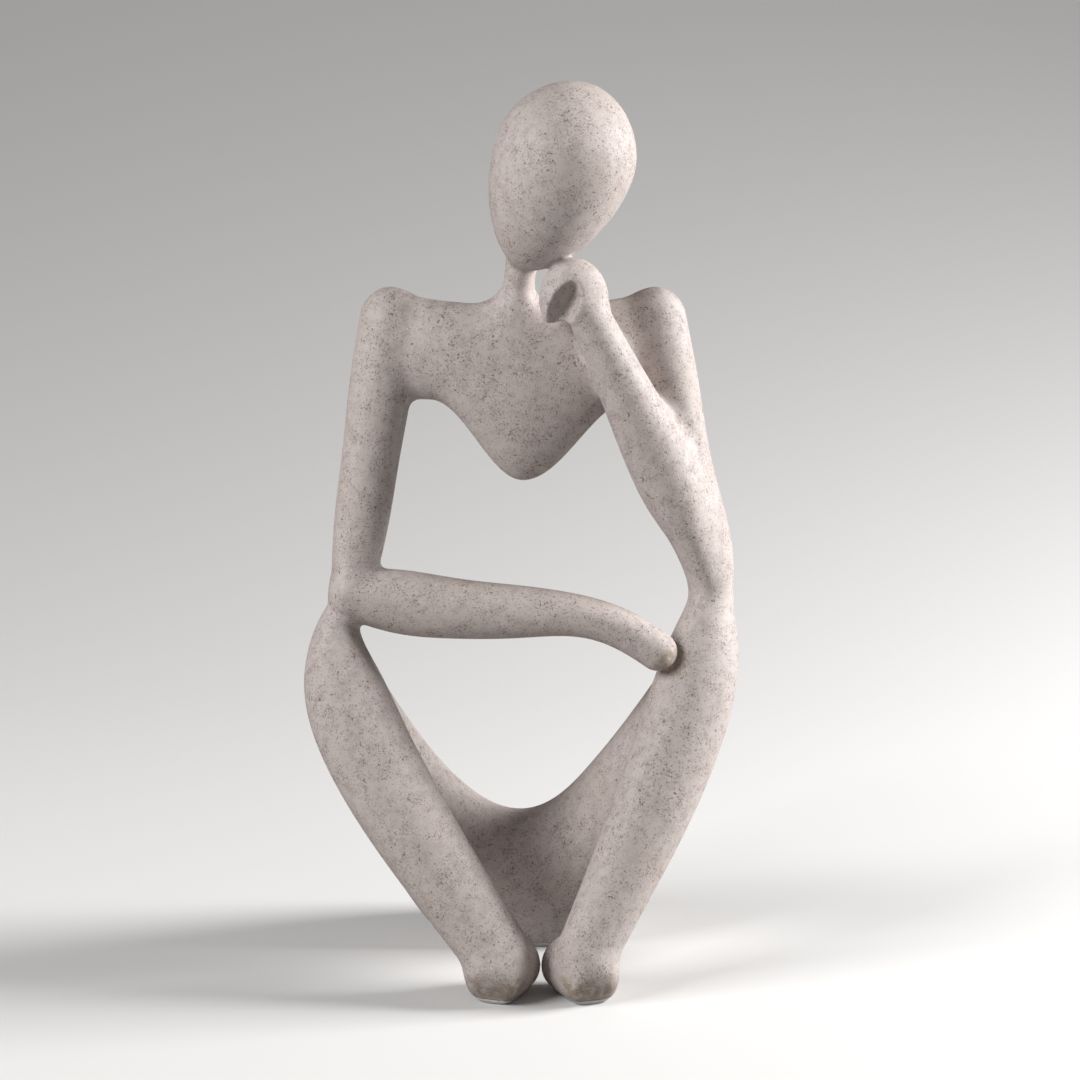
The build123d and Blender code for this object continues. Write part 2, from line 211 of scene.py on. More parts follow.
def chestField(points, plate):
    # elliptical sections across the figure: the lower edge climbs from tip to armpit as a squared sine
    across, deep, high = points.T
    reach = np.clip(np.abs(across) / plate["shoulderReach"], 0, 1)
    armpitShare = np.where(across < 0, *plate["armpitShare"])
    swing = math.pi / 2 * np.minimum(1, reach / armpitShare)
    lower = plate["tip"] + (plate["armpit"] - plate["tip"]) * np.sin(swing) ** 2
    upper = plate["collar"] + (plate["yoke"] - plate["collar"]) * reach**2
    back = plate["setback"] + (plate["shoulderSetback"] - plate["setback"]) * reach**2
    halfDepth = plate["halfDepth"] + (plate["shoulderHalfDepth"] - plate["halfDepth"]) * reach
    halfHeight = (upper - lower) / 2
    above = high - (upper + lower) / 2
    beyond = np.maximum(np.abs(across) - plate["shoulderReach"], 0)
    gap = scaledGap((above, deep - back, beyond), (halfHeight, halfDepth, plate["cap"]))
    edgeSlope = (plate["armpit"] - plate["tip"]) * np.sin(2 * swing) * math.pi / 2
    edgeSlope /= armpitShare * plate["shoulderReach"]
    steep = edgeSlope * np.clip(-above / halfHeight, 0, 1)
    return gap / np.sqrt(1 + steep**2)


chest["low"] = np.array((-56.0, -28.0, 128.0))
chest["high"] = np.array((56.0, 30.0, 216.0))
chest["field"] = chestField

head = {
    "chin": (-0.5, -9.0, 206.5), "crown": (19.8, -5.0, 257.6), "radius": 20.0, "widest": 0.61,
    "chinFull": 0.46, "cheekFull": 0.47, "crownFull": 0.515,
}


def quarterCurve(corners, count=300):
    # cubic curve from its four control points
    step = np.linspace(0, 1, count)[:, None]
    rest = 1 - step
    a, b, c, d = np.array(corners, float)
    return rest**3 * a + 3 * rest**2 * step * b + 3 * rest * step**2 * c + step**3 * d


def readyHead(egg):
    # the egg's outline as angle and radius about its widest point
    egg["chin"] = np.array(egg["chin"], float)
    axis = np.array(egg["crown"], float) - egg["chin"]
    length = np.linalg.norm(axis)
    drop = length * egg["widest"]
    rise = length - drop
    wide = egg["radius"]
    lower = quarterCurve([
        (0, -drop), (wide * egg["chinFull"], -drop), (wide, -drop * egg["cheekFull"]), (wide, 0),
    ])
    upper = quarterCurve([
        (wide, 0), (wide, rise * egg["crownFull"]), (wide * egg["crownFull"], rise), (0, rise),
    ])
    outline = np.concatenate([lower, upper[1:]])
    egg["angles"] = np.arctan2(outline[:, 1], outline[:, 0])
    egg["radii"] = np.hypot(outline[:, 0], outline[:, 1])
    egg["axis"] = axis / length
    egg["centre"] = egg["chin"] + egg["axis"] * drop
    egg["low"] = egg["centre"] - drop - margin
    egg["high"] = egg["centre"] + drop + margin
    egg["field"] = headField


def headField(points, egg, probe=0.02):
    # outline spun about the axis: distance past the outline's radius, eased by the outline's slope
    offset = points - egg["centre"]
    along = offset @ egg["axis"]
    aside = np.sqrt(np.maximum((offset * offset).sum(1) - along**2, 0))
    angle = np.arctan2(along, aside)
    limit = np.interp(angle, egg["angles"], egg["radii"])
    slope = (np.interp(angle + probe, egg["angles"], egg["radii"]) - limit) / probe
    return (np.hypot(along, aside) - limit) / np.sqrt(1 + (slope / limit) ** 2)


saddle = {
    "kneeReach": 52.0, "rise": 76.0, "height": 14.4, "setback": 24.6, "depth": 27.7, "shift": -1.0,
    "pivot": 17.79, "pivotLift": 80.0, "lap": 23.2, "lapGain": (9.0, 16.0), "cap": 6.0,
    "rows": [
        (0, 23.2, 20.5), (0.25, 22.0, 20.0), (0.45, 18.2, 18.0), (0.62, 14.8, 15.4),
        (0.78, 11.8, 13.2), (0.92, 9.6, 11.3), (1, 8.1, 9.2),
    ],
}


def saddleField(points, seat):
    # sections fan out from a pivot above the parabola; the share solves "point, pivot and path in line".
    # upper half width: along the section to the lap line, which is the path's parabola lifted by the lap
    across = points[:, 0] - seat["shift"]
    high = points[:, 2]
    inner = np.zeros(len(points))
    outer = np.ones(len(points))
    for halve in range(16):
        share = (inner + outer) / 2
        path = seat["height"] + seat["rise"] * share**2
        lift = seat["pivot"] + seat["pivotLift"] * (1 - share**2) ** 3
        short = seat["kneeReach"] * share * (path + lift - high) < np.abs(across) * lift
        inner = np.where(short, share, inner)
        outer = np.where(short, outer, share)
    share = (inner + outer) / 2 * np.sign(across)
    path = seat["height"] + seat["rise"] * share**2
    lift = seat["pivot"] + seat["pivotLift"] * (1 - share**2) ** 3
    toPivot = np.hypot(seat["kneeReach"] * share, lift)
    widthX = -seat["kneeReach"] * share / toPivot
    widthZ = lift / toPivot
    climb = 2 * seat["rise"] * share
    lean = 2 * seat["depth"] * share
    run = np.hypot(seat["kneeReach"], climb)
    squareness = (widthX * -climb + widthZ * seat["kneeReach"]) / run
    offsetX = across - seat["kneeReach"] * share
    offsetZ = high - path
    halfWidth = np.interp(np.abs(share), seat["table"][0], seat["table"][1][:, 0]) / squareness
    halfDepth = np.interp(np.abs(share), seat["table"][0], seat["table"][1][:, 1])
    halfDepth = halfDepth * np.hypot(run, lean) / run
    deep = points[:, 1] - seat["setback"] + seat["depth"] * share**2
    up = offsetX * widthX + offsetZ * widthZ
    curve = seat["rise"] / seat["kneeReach"] ** 2
    lap = seat["lap"] + np.where(across < 0, *seat["lapGain"]) * (share**2 - share**6)
    climbing = widthZ - 2 * curve * seat["kneeReach"] * share * widthX
    toLap = 2 * lap / (climbing + np.sqrt(np.maximum(climbing**2 - 4 * curve * widthX**2 * lap, 0)))
    halfWidth = np.where(up > 0, toLap, halfWidth)
    return scaledGap((up, deep, offsetX * widthZ - offsetZ * widthX), (halfWidth, halfDepth, seat["cap"]))


saddle["table"] = splineTable([(-s, w, d) for s, w, d in saddle["rows"][:0:-1]] + saddle["rows"], 801)
saddle["low"] = np.array((-76.0, -28.0, -22.0))
saddle["high"] = np.array((76.0, 60.0, 114.0))
saddle["field"] = saddleField

hand = {"centre": (14.3, -14.0, 198.6), "radii": (9.7, 7.5, 11.5), "fingerEnd": 193.4, "fingerSlope": 0.25}
palm = {"centre": (11.0, -21.5, 196.4), "radii": (3.7, 6.8, 8.6), "lean": 25.0}

for limb in (rightArm, leftArm, rightForearm, leftForearm, neck, rightShin, leftShin, rightFoot, leftFoot):
    readyLimb(limb)
for blob in (hand, palm):
    readyBlob(blob)
readyHead(head)

# softness of each meeting of two forms, and the heights and reach over which two of them fade, millimetres
melts = {
    "shoulder": 3.5, "neck": 7.0, "head": 2.0, "hand": 2.5, "leftForearm": 5.0, "elbow": 3.0, "fist": 1.2,
    "leg": 3.0, "ankle": 5.0, "heels": 0.4, "facet": 1.5, "palm": 1.2, "fingers": 2.0,
    "heelTop": 20.0, "heelFade": 20.0, "fistReach": 30.0,
}


def nearField(points, shape):
    near = np.all((points > shape["low"]) & (points < shape["high"]), axis=1)
    values = np.full(len(points), farAway)
    values[near] = shape["field"](points[near], shape)
    return values


def melt(one, other, soft):
    # smooth smaller of two fields: within the softness the corner is rounded by a parabola
    share = np.clip(0.5 + 0.5 * (other - one) / soft, 0, 1)
    return other + (one - other) * share - soft * share * (1 - share)


def formFields(points):
    fields = {
        "head": nearField(points, head), "chest": nearField(points, chest), "neck": nearField(points, neck),
        "rightArm": nearField(points, rightArm), "leftArm": nearField(points, leftArm),
        "rightForearm": nearField(points, rightForearm), "saddle": nearField(points, saddle),
    }
    fingerEnd = hand["fingerEnd"] + hand["fingerSlope"] * (points[:, 0] - hand["centre"][0])
    fingers = -melt(-nearField(points, hand), points[:, 2] - fingerEnd, melts["fingers"])
    fields["leftForearm"] = melt(nearField(points, leftForearm), fingers, melts["hand"])
    for name, shin, foot in (("rightLeg", rightShin, rightFoot), ("leftLeg", leftShin, leftFoot)):
        leg = melt(nearField(points, shin), nearField(points, foot), melts["ankle"])
        fields[name] = -melt(-leg, foot["facetOut"] - points @ np.array(foot["facet"]), melts["facet"])
    return fields


def figureField(points):
    # every form melted into the next, with the palm hollowed out of the raised hand
    fields = formFields(points)
    upper = melt(fields["chest"], fields["rightArm"], melts["shoulder"])
    upper = melt(upper, fields["leftArm"], melts["shoulder"])
    upper = melt(upper, fields["neck"], melts["neck"])
    upper = melt(upper, fields["leftForearm"], melts["leftForearm"])
    upper = melt(upper, fields["head"], melts["head"])
    upper = -melt(-upper, nearField(points, palm), melts["palm"])
    lower = melt(fields["saddle"], fields["rightLeg"], melts["leg"])
    aboveHeels = np.clip((points[:, 2] - melts["heelTop"]) / melts["heelFade"], 0, 1)
    lower = melt(lower, fields["leftLeg"], melts["heels"] + (melts["leg"] - melts["heels"]) * aboveHeels)
    whole = melt(upper, lower, melts["leg"])
    toFist = np.clip(points[:, 0] / melts["fistReach"], 0, 1)
    soft = melts["elbow"] + (melts["fist"] - melts["elbow"]) * toFist
    return melt(whole, fields["rightForearm"], soft)


# mesh of the whole figure: the grid's step in millimetres, fine steps to a coarse one, coarse steps to the
# band on each side of the surface, the grid's box, and the height of the soles on their pads
skin = {
    "step": 0.8, "coarse": 3, "band": 1.8, "sole": 1.5,
    "low": (-66.0, -60.0, -1.0), "high": (68.0, 50.0, 262.0),
}
print("forms ready")


def solidField(points):
    return np.maximum(figureField(points), skin["sole"] - points[:, 2])


def sampleGrid():
    # a coarse grid first, then fine values only in the band where the surface can be
    low = np.array(skin["low"])
    wide = skin["step"] * skin["coarse"]
    cells = np.ceil((np.array(skin["high"]) - low) / wide).astype(int)
    coarseAxes = [low[axis] + wide * np.arange(cells[axis] + 1) for axis in range(3)]
    places = np.stack(np.meshgrid(*coarseAxes, indexing="ij"), -1)
    coarse = solidField(places.reshape(-1, 3)).reshape(places.shape[:3])
    fineCounts = cells * skin["coarse"] + 1
    nearest = [np.round(np.arange(count) / skin["coarse"]).astype(int) for count in fineCounts]
    values = coarse[np.ix_(*nearest)]
    band = np.argwhere(np.abs(values) < skin["band"] * wide)
    values[tuple(band.T)] = solidField(low + band * skin["step"])
    return values, low


def netSurface(values, low):
    # one point in each cell that the surface crosses, at the mean of its edge crossings, joined in squares
    inside = values < 0
    shape = np.array(values.shape) - 1
    corners = np.array([(i, j, k) for i in (0, 1) for j in (0, 1) for k in (0, 1)])
    count = np.zeros(shape, np.uint8)
    for i, j, k in corners:
        count += inside[i:shape[0] + i, j:shape[1] + j, k:shape[2] + k]
    mixed = (count > 0) & (count < 8)
    cells = np.argwhere(mixed)
    number = np.full(shape, -1)
    number[mixed] = np.arange(len(cells))
    total = np.zeros((len(cells), 3))
    hits = np.zeros(len(cells))
    for axis in range(3):
        unit = np.eye(3, dtype=int)[axis]
        for corner in corners[corners[:, axis] == 0]:
            start = values[tuple((cells + corner).T)]
            end = values[tuple((cells + corner + unit).T)]
            crossed = (start < 0) != (end < 0)
            share = np.where(crossed, start / np.where(crossed, start - end, 1), 0)
            total += crossed[:, None] * (corner + unit * share[:, None])
            hits += crossed
    points = low + skin["step"] * (cells + total / hits[:, None])
    squares = []
    for axis in range(3):
        unit, side, up = np.roll(np.eye(3, dtype=int), -axis, axis=0)
        first = inside[tuple(slice(0, size - one) for size, one in zip(inside.shape, unit))]
        second = inside[tuple(slice(one, size) for size, one in zip(inside.shape, unit))]
        for wanted, order in ((first & ~second, 1), (~first & second, -1)):
            place = np.argwhere(wanted)
            ring = [number[tuple((place + step).T)] for step in (-side - up, -up, 0 * up, -side)]
            squares.append(np.stack(ring[::order], 1))
    return points, np.concatenate(squares)


def outward(points, probe=0.03):
    # value and slope of the field at each point, the slope from a small step along each axis
    moved = np.concatenate([points] + [points + probe * unit for unit in np.eye(3)])
    values = solidField(moved).reshape(4, -1)
    return values[0], ((values[1:] - values[0]) / probe).T


def settle(points, rounds, leastSlope=0.2):
    # slide each point along the slope until the field is zero; a flat slope counts as the least one
    for walk in range(rounds):
        values, slope = outward(points)
        points = points - (values / np.maximum((slope * slope).sum(1), leastSlope))[:, None] * slope
    return points


def neighbourMean(points, edges):
    count = np.bincount(edges[:, 0], minlength=len(points))
    total = [np.bincount(edges[:, 0], points[edges[:, 1], axis], len(points)) for axis in range(3)]
    mean = np.stack(total, 1) / np.maximum(count, 1)[:, None]
    return np.where(count[:, None] > 0, mean, points)


def squareEdges(squares):
    return np.stack([squares, np.roll(squares, -1, axis=1)], -1).reshape(-1, 2)


values, gridLow = sampleGrid()
points, squares = netSurface(values, gridLow)
print("net:", len(points), "points")
edges = squareEdges(squares)
bothWays = np.concatenate([edges, edges[:, ::-1]])
points = settle(points, 2)
for relax in range(2):
    points = points + 0.5 * (neighbourMean(points, bothWays) - points)
    points = settle(points, 1)
print("net settled on the surface")

# where the castings part: planes of the seams, and otherwise the form that is nearest
seams = {
    "shoulder": 28.0, "hip": 30.0, "rightElbow": 126.0, "leftElbow": 148.0,
    "rightRest": ((-52.0, -4.0, 104.7), (0.6, 0.0, 0.8)),
    "leftRest": ((54.3, -4.0, 110.3), (-0.23, 0.0, 0.97)),
}
castings = [
    "head", "torso", "right_upper_arm", "left_upper_arm", "right_forearm", "left_forearm",
    "pelvis", "right_thigh", "left_thigh", "right_shin", "left_shin",
]


def castingOf(places):
    # the nearest form at each place, then the side of its seam planes that the place is on
    fields = formFields(places)
    names = list(fields)
    nearest = np.argmin(np.stack(list(fields.values())), axis=0)
    form = {name: nearest == index for index, name in enumerate(names)}
    across = places[:, 0]
    high = places[:, 2]
    rest = {}
    for side in ("right", "left"):
        origin, normal = (np.array(row) for row in seams[side + "Rest"])
        rest[side] = (places - origin) @ normal > 0
    plate = form["chest"] | form["neck"]
    rightLow = form["rightForearm"] | (form["rightArm"] & (high < seams["rightElbow"])) | form["rightLeg"]
    leftLow = form["leftForearm"] | (form["leftArm"] & (high < seams["leftElbow"])) | form["leftLeg"]
    rules = {
        "head": form["head"],
        "torso": plate & (np.abs(across) < seams["shoulder"]),
        "right_upper_arm": (form["rightArm"] & ~rightLow) | (plate & (across <= -seams["shoulder"])),
        "left_upper_arm": (form["leftArm"] & ~leftLow) | (plate & (across >= seams["shoulder"])),
        "right_forearm": rightLow & rest["right"],
        "left_forearm": leftLow & rest["left"],
        "pelvis": form["saddle"] & (np.abs(across) < seams["hip"]),
        "right_thigh": form["saddle"] & (across <= -seams["hip"]),
        "left_thigh": form["saddle"] & (across >= seams["hip"]),
        "right_shin": rightLow & ~rest["right"],
        "left_shin": leftLow & ~rest["left"],
    }
    return np.argmax(np.stack([rules[name] for name in castings]), axis=0)


owner = castingOf(points[squares].mean(1))
edgeOwner = np.repeat(owner, 4)
edgeKey = np.sort(edges, axis=1) @ np.array((len(points), 1))
order = np.argsort(edgeKey, kind="stable")
pairs = order.reshape(-1, 2)
seamEdges = edges[pairs[edgeOwner[pairs[:, 0]] != edgeOwner[pairs[:, 1]], 0]]
seamBothWays = np.concatenate([seamEdges, seamEdges[:, ::-1]])
for relax in range(6):
    points = points + 0.5 * (neighbourMean(points, seamBothWays) - points)
points = settle(points, 2)
slope = outward(points)[1]
normals = slope / np.linalg.norm(slope, axis=1)[:, None]
print("seams smoothed:", len(seamEdges), "seam edges")

# the drawing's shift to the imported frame, read from the neck pin's own place
neckSeat = neck["start"] + (neck["end"] - neck["start"]) * neck["pinShare"]
pinLow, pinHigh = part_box("neck_pin")
shift = np.array((pinLow + pinHigh) / 2) / mm - neckSeat
print("shift to the frame, mm:", np.round(shift, 3))


def loopNumbers(ends, count):
    # joined boundary edges share the lowest point number among them
    number = np.arange(count)
    settled = False
    while not settled:
        lowest = np.minimum(number[ends[:, 0]], number[ends[:, 1]])
        before = number.copy()
        np.minimum.at(number, ends[:, 0], lowest)
        np.minimum.at(number, ends[:, 1], lowest)
        number = number[number]
        settled = np.array_equal(before, number)
    return number


def closedSkin(faces):
    # a casting's own squares, and a fan from each open loop to the loop's middle
    used, local = np.unique(faces, return_inverse=True)
    local = local.reshape(faces.shape)
    ends = squareEdges(local)
    keys = ends @ np.array((len(used), 1))
    reverse = ends[:, ::-1] @ np.array((len(used), 1))
    rim = ends[~np.isin(keys, reverse)]
    number = loopNumbers(rim, len(used))[rim[:, 0]]
    loops, which = np.unique(number, return_inverse=True)
    places = points[used]
    size = np.bincount(which)
    middles = [np.bincount(which, places[rim[:, 0], axis]) / size for axis in range(3)]
    fans = np.stack([rim[:, 1], rim[:, 0], len(used) + which.reshape(-1)], 1)
    return np.concatenate([places, np.stack(middles, 1)]), local, fans, normals[used]


def placeMesh(name, places, faces, material):
    mesh = bpy.data.meshes.new(name)
    mesh.from_pydata((places + shift) * mm, [], faces)
    mesh.materials.append(material)
    mesh.polygons.foreach_set("use_smooth", np.ones(len(mesh.polygons), bool))
    mesh.update()
    piece = bpy.data.objects.new(name, mesh)
    bpy.context.scene.collection.objects.link(piece)
    return piece


class Wire:
    # one output socket in a material; sums on it add Math nodes
    def __init__(self, tree, socket=None):
        self.tree = tree
        self.socket = socket

    def node(self, kind, settings=None, sockets=None, out=0):
        made = self.tree.nodes.new(kind)
        for name, value in (settings or {}).items():
            setattr(made, name, value)
        for name, value in (sockets or {}).items():
            if isinstance(value, Wire):
                self.tree.links.new(value.socket, made.inputs[name])
            else:
                made.inputs[name].default_value = value
        return Wire(self.tree, made.outputs[out])

    def maths(self, operation, first, second):
        return self.node("ShaderNodeMath", {"operation": operation}, {0: first, 1: second})

    def __add__(self, other):
        return self.maths("ADD", self, other)

    def __radd__(self, other):
        return self.maths("ADD", other, self)

    def __sub__(self, other):
        return self.maths("SUBTRACT", self, other)

    def __mul__(self, other):
        return self.maths("MULTIPLY", self, other)

    def __rmul__(self, other):
        return self.maths("MULTIPLY", other, self)

    def span(self, low, high):
        # 0 at low and 1 at high, eased between them
        return self.node("ShaderNodeMapRange", {"interpolation_type": "SMOOTHSTEP"},
                         {"Value": self, "From Min": low, "From Max": high})

    def blend(self, first, second):
        # a colour between the two, by this value
        return self.node("ShaderNodeMix", {"data_type": "RGBA"}, {"Factor": self, 6: first, 7: second}, 2)

    def noise(self, coords, scale, detail=2.0, rough=0.5):
        sockets = {"Vector": coords, "Scale": scale, "Detail": detail, "Roughness": rough}
        return self.node("ShaderNodeTexNoise", None, sockets)


def startMaterial(name):
    material = bpy.data.materials.new(name)
    material.use_nodes = True
    shader = material.node_tree.nodes["Principled BSDF"]
    wire = Wire(material.node_tree)
    coords = wire.node("ShaderNodeTexCoord", None, None, 3)
    millimetres = wire.node("ShaderNodeVectorMath", {"operation": "SCALE"}, {0: coords, "Scale": 1 / mm})
    return material, shader, wire, millimetres


def finishMaterial(wire, shader, colour, roughness, height, strength, distance):
    bump = wire.node("ShaderNodeBump", None, {"Height": height, "Strength": strength, "Distance": distance})
    for name, value in (("Base Color", colour), ("Roughness", roughness), ("Normal", bump)):
        wire.tree.links.new(value.socket, shader.inputs[name])


sandstone = {
    "pale": (0.54, 0.475, 0.45, 1), "dull": (0.42, 0.36, 0.34, 1), "warm": (0.49, 0.42, 0.38, 1),
    "dark": (0.13, 0.10, 0.085, 1), "brown": (0.24, 0.18, 0.145, 1), "light": (0.86, 0.83, 0.80, 1),
    # the next colour is the brown of the low toe fronts and the painted shade at the fist's end
    "toeBrownAndFistShade": (0.26, 0.19, 0.125, 1), "rough": (0.5, 0.8),
    "cloud": (0.05, 3.0, 0.55), "mottle": (0.34, 3.0, 0.6), "cluster": (0.17, 2.0, 0.5),
    "fine": (1.9, 2.0, 0.55), "coarse": (1.2, 2.0, 0.55), "grain": (1.5, 2.0, 0.55),
    # the next noise breaks the toe brown and the fist's painted shade into patches
    "toeBrownAndFistShadePatches": (0.45, 4.0, 0.65), "clusterGain": 0.22,
    "toeFront": -38.0, "toeTop": 11.0, "fistEnd": (42.5, -21.0, 96.0),
}


def sandstoneMaterial():
    # warm pinkish grey coat: clouds, mottling, fine brown and larger dark specks in clusters, light grains,
    # brown on the low toe fronts, and painted shade on the end of the fist where it presses on the knee
    material, shader, wire, coords = startMaterial("sandstone_coat")
    cloud = wire.noise(coords, *sandstone["cloud"])
    mottle = wire.noise(coords, *sandstone["mottle"])
    colour = (mottle.span(0.36, 0.7) * 0.75).blend(sandstone["pale"], sandstone["dull"])
    colour = (cloud.span(0.45, 0.75) * 0.6).blend(colour, sandstone["warm"])
    cluster = wire.noise(coords, *sandstone["cluster"]) * sandstone["clusterGain"]
    fine = wire.noise(coords, *sandstone["fine"]) + cluster
    coarse = wire.noise(coords, *sandstone["coarse"]) + cluster
    grain = wire.noise(coords, *sandstone["grain"])
    colour = (grain.span(0.64, 0.73) * 0.4).blend(colour, sandstone["light"])
    colour = (fine.span(0.66, 0.77) * 0.65).blend(colour, sandstone["brown"])
    speck = coarse.span(0.74, 0.81)
    colour = (speck * 0.75).blend(colour, sandstone["dark"])
    front = wire.node("ShaderNodeSeparateXYZ", None, {"Vector": coords}, 1)
    height = wire.node("ShaderNodeSeparateXYZ", None, {"Vector": coords}, 2)
    # brown painted on the toe fronts, low down near the ground
    toes = front.span(sandstone["toeFront"], sandstone["toeFront"] - 4)
    toes = toes * height.span(sandstone["toeTop"], sandstone["toeTop"] - 5)
    # painted shade: a dark brown patch round the end of the fist, where it presses on the left knee
    ends = {0: coords, 1: sandstone["fistEnd"]}
    toFist = wire.node("ShaderNodeVectorMath", {"operation": "DISTANCE"}, ends, 1)
    # toe brown plus the fist's painted shade, broken into patches by noise and mixed into the coat
    toeBrownAndFistShadeMask = toes + toFist.span(6.5, 3.0)
    toeBrownAndFistShadePatches = toeBrownAndFistShadeMask * wire.noise(coords, *sandstone["toeBrownAndFistShadePatches"]).span(0.32, 0.58)
    colour = (toeBrownAndFistShadePatches * 0.7).blend(colour, sandstone["toeBrownAndFistShade"])
    roughness = sandstone["rough"][0] + mottle * (sandstone["rough"][1] - sandstone["rough"][0])
    finishMaterial(wire, shader, colour, roughness, fine - 0.5 * speck, 0.3, 0.0002)
    return material


felt = {
    "pale": (0.80, 0.79, 0.77, 1), "dull": (0.62, 0.60, 0.57, 1), "rays": 120, "inset": 0.3, "thick": 1.5,
    "corner": 0.3, "reach": 34.0, "fuzz": 0.06, "gap": 0.15, "core": 0.55,
}


def feltMaterial():
    # white pressed felt: pale and dull fibres crossing, rough all over
    material, shader, wire, coords = startMaterial("rest_pad")
    stretched = wire.node("ShaderNodeMapping", None, {"Vector": coords, "Scale": (1.0, 5.0, 3.0)})
    crossed = wire.node("ShaderNodeMapping", None, {"Vector": coords, "Scale": (5.0, 1.0, 3.0)})
    fibre = wire.noise(stretched, 1.2, 3.0) * 0.5 + wire.noise(crossed, 1.2, 3.0) * 0.5
    colour = fibre.span(0.35, 0.65).blend(felt["dull"], felt["pale"])
    finishMaterial(wire, shader, colour, 0.85 + fibre * 0.15, fibre, 0.5, 0.0003)
    return material


steel = {"pale": (0.62, 0.62, 0.61, 1), "dull": (0.42, 0.42, 0.42, 1)}


def steelMaterial():
    # drawn steel pin: fine scratches and a cloudy roughness
    material, shader, wire, coords = startMaterial("pin_steel")
    drawn = wire.node("ShaderNodeMapping", None, {"Vector": coords, "Scale": (8, 8, 0.5)})
    scratch = wire.noise(drawn, 1.0, 2.0)
    colour = scratch.span(0.3, 0.7).blend(steel["dull"], steel["pale"])
    shader.inputs["Metallic"].default_value = 1.0
    finishMaterial(wire, shader, colour, 0.25 + scratch * 0.3, scratch, 0.2, 0.0001)
    return material


coat = sandstoneMaterial()
white = feltMaterial()
metal = steelMaterial()
print("materials ready")

for index, name in enumerate(castings):
    places, local, fans, smooth = closedSkin(squares[owner == index])
    piece = placeMesh(name + "_skin", places, local.tolist() + fans.tolist(), coat)
    first, second, third = (places[fans[:, corner]] for corner in range(3))
    flat = np.repeat(np.cross(second - first, third - first), 3, 0)
    flat /= np.linalg.norm(flat, axis=1)[:, None] + 1e-12
    corners = np.concatenate([smooth[local.reshape(-1)], flat])
    piece.data.normals_split_custom_set(corners.tolist())
    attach(piece, "root")
    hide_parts(name)
    print(name, len(local), "squares,", len(fans), "closing triangles")


def padRing(centre, form):
    # rays out from the pad's middle at each height: halve the span until the edge of its form is found
    angles = np.linspace(0, 2 * math.pi, felt["rays"], endpoint=False)
    edge = felt["inset"]
    thick = felt["thick"]
    corner = edge * felt["corner"]
    rows = [(0.0, 1.0), (0.0, edge), (corner, corner), (edge, 0.0), (thick / 2, 0.0)]
    rows += [(thick - edge, 0.0), (thick - corner, corner), (thick, edge), (thick, 1.0)]
    heights = np.array([row[0] for row in rows])
    spin, level = np.meshgrid(angles, heights)
    inner = np.zeros(spin.shape)
    outer = np.full(spin.shape, felt["reach"])
    for halve in range(24):
        middle = (inner + outer) / 2
        ray = np.stack([centre[0] + middle * np.cos(spin), centre[1] + middle * np.sin(spin), level], -1)
        within = formFields(ray.reshape(-1, 3))[form].reshape(spin.shape) < 0
        inner = np.where(within, middle, inner)
        outer = np.where(within, outer, middle)
    fuzz = felt["fuzz"] * np.sin(23 * spin + 9 * level) * np.sin(41 * spin - 5 * level)
    inset = np.array([row[1] for row in rows])[:, None]
    radius = np.where(inset == 1.0, felt["core"] * inner, inner - inset - felt["gap"] + fuzz)
    ring = np.stack([centre[0] + radius * np.cos(spin), centre[1] + radius * np.sin(spin), level], -1)
    ends = np.array([(centre[0], centre[1], 0.0), (centre[0], centre[1], thick)])
    count = felt["rays"]
    across = np.arange(count)
    after = (across + 1) % count
    walls = []
    for row in range(len(rows) - 1):
        first = row * count
        second = first + count
        walls.append(np.stack([first + across, first + after, second + after, second + across], 1))
    poles = len(rows) * count
    last = poles - count
    under = np.stack([np.full(count, poles), after, across], 1)
    top = np.stack([np.full(count, poles + 1), last + across, last + after], 1)
    faces = np.concatenate(walls).tolist() + under.tolist() + top.tolist()
    return np.concatenate([ring.reshape(-1, 3), ends]), faces


padForms = {"seat_pad": "saddle", "right_foot_pad": "rightLeg", "left_foot_pad": "leftLeg"}
for name, form in padForms.items():
    low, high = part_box(name)
    middle = np.array((low + high) / 2) / mm - shift
    places, faces = padRing(middle, form)
    piece = placeMesh(name + "_felt", places, faces, white)
    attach(piece, "root")
    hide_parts(name)
print("pads made")

for name in ("neck_pin", "shoulder_pins", "elbow_pins", "elbow_rest_pins", "knee_pins", "hip_pins"):
    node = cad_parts[name]
    node.data.materials.clear()
    node.data.materials.append(metal)

# pale paper that lies flat under the figure and sweeps up behind it; it throws little light back
sweep = {
    "seen": (0.72, 0.71, 0.70, 1), "bounce": (0.30, 0.295, 0.29, 1),
    "front": -2.5, "back": 0.3, "radius": 2.0, "top": 3.5, "half": 3.5,
}
turn = np.linspace(0, math.pi / 2, 33)
sweepDeep = np.concatenate([[sweep["front"]], sweep["back"] + sweep["radius"] * np.sin(turn)])
sweepHigh = np.concatenate([[0.0], sweep["radius"] * (1 - np.cos(turn))])
sweepDeep = np.append(sweepDeep, sweepDeep[-1])
sweepHigh = np.append(sweepHigh, sweep["top"])
sweepRows = np.stack([sweepDeep * 0 - sweep["half"], sweepDeep, sweepHigh], 1)
sweepPlaces = np.concatenate([sweepRows, sweepRows * (-1, 1, 1)])
near = np.arange(len(sweepRows) - 1)
sweepFaces = np.stack([near, near + len(sweepRows), near + len(sweepRows) + 1, near + 1], 1)
paperMesh = bpy.data.meshes.new("backdrop")
paperMesh.from_pydata(sweepPlaces.tolist(), [], sweepFaces.tolist())
paperMesh.polygons.foreach_set("use_smooth", np.ones(len(paperMesh.polygons), bool))
paper = bpy.data.objects.new("backdrop", paperMesh)
bpy.context.scene.collection.objects.link(paper)
paperPaint = bpy.data.materials.new("paper")
paperPaint.use_nodes = True
paperShader = paperPaint.node_tree.nodes["Principled BSDF"]
paperShader.inputs["Roughness"].default_value = 0.9
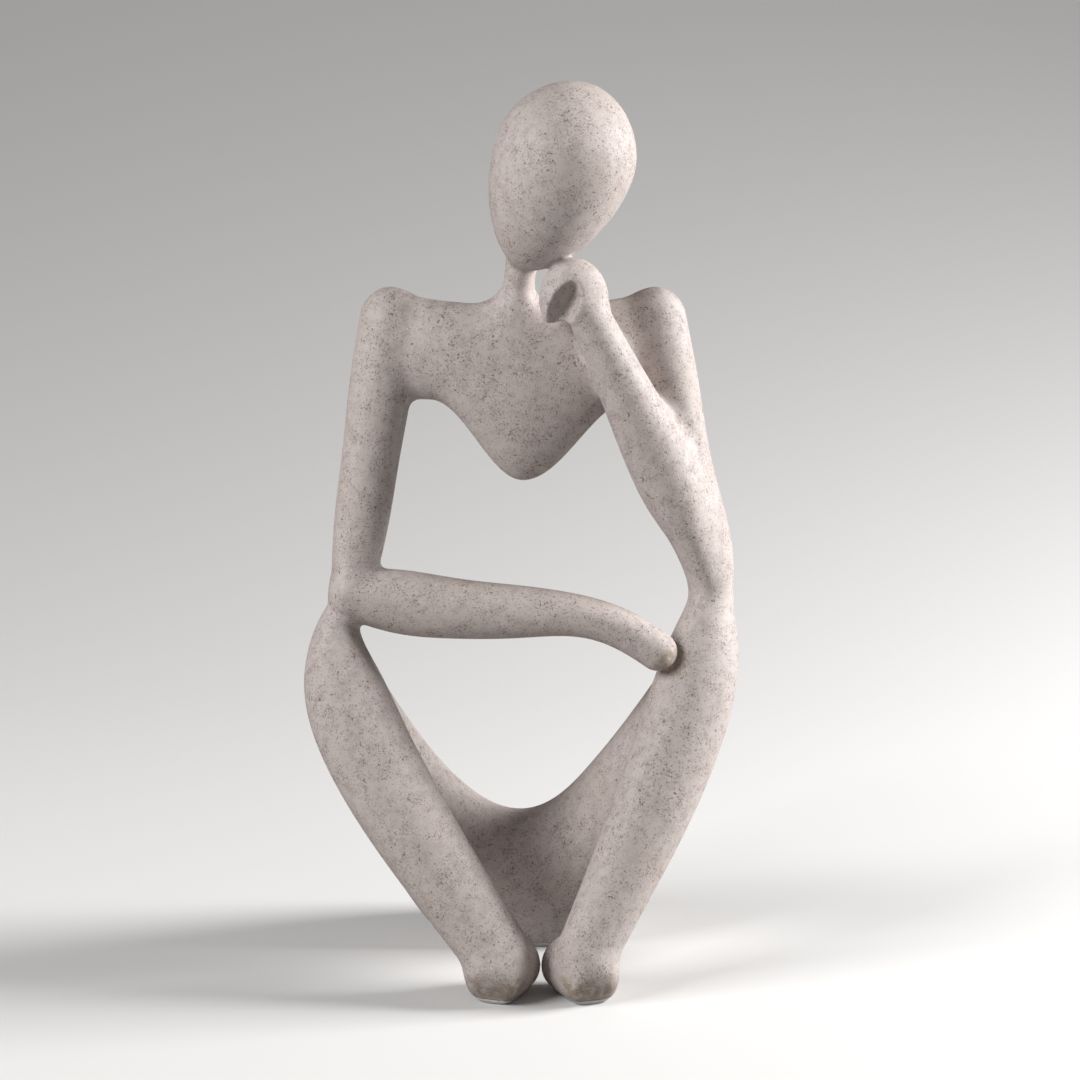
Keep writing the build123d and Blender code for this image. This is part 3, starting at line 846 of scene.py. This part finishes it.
paperWire = Wire(paperPaint.node_tree)
paperColour = paperWire.node("ShaderNodeLightPath").blend(sweep["bounce"], sweep["seen"])
paperPaint.node_tree.links.new(paperColour.socket, paperShader.inputs["Base Color"])
paperMesh.materials.append(paperPaint)

# soft key from the upper left, a strong edge light from the right, a weak fill and a weak pale sky
lamps = {
    "key": {"place": (-0.95, -0.6, 0.8), "size": 0.6, "power": 15.0},
    "edge": {"place": (0.95, 0.05, 0.5), "size": 0.4, "power": 19.0},
    "fill": {"place": (0.1, -1.2, 0.7), "size": 1.2, "power": 1.0},
}
aim = np.array((0.0, 0.0, 0.13))
for name, lamp in lamps.items():
    light = bpy.data.lights.new(name, "AREA")
    light.size = lamp["size"]
    light.energy = lamp["power"]
    holder = bpy.data.objects.new(name, light)
    holder.location = lamp["place"]
    facing = aim - np.array(lamp["place"])
    tip = math.atan2(math.hypot(facing[0], facing[1]), -facing[2])
    spin = math.atan2(facing[1], facing[0]) - math.pi / 2
    holder.rotation_euler = (tip, 0, spin)
    bpy.context.scene.collection.objects.link(holder)
world = bpy.data.worlds.new("studio")
world.use_nodes = True
sky = world.node_tree.nodes["Background"]
sky.inputs["Color"].default_value = (0.9, 0.9, 0.9, 1)
sky.inputs["Strength"].default_value = 0.09
bpy.context.scene.world = world

view = {"target": (4.87, 0.0, 126.6), "distance": 922.5, "raise": 12.0, "lens": 106.33, "sensor": 36.0}
lens = bpy.data.cameras.new("camera")
lens.sensor_width = view["sensor"]
lens.sensor_height = view["sensor"]
lens.lens = view["lens"]
lens.clip_start = 0.05
lens.clip_end = 20
camera = bpy.data.objects.new("camera", lens)
tilt = math.radians(view["raise"])
away = np.array((0, -math.cos(tilt), math.sin(tilt))) * view["distance"]
camera.location = (np.array(view["target"]) + shift + away) * mm
camera.rotation_euler = (math.pi / 2 - tilt, 0, 0)
bpy.context.scene.collection.objects.link(camera)
bpy.context.scene.camera = camera
bpy.context.scene.view_settings.view_transform = "Standard"
print("stage, light and camera set")
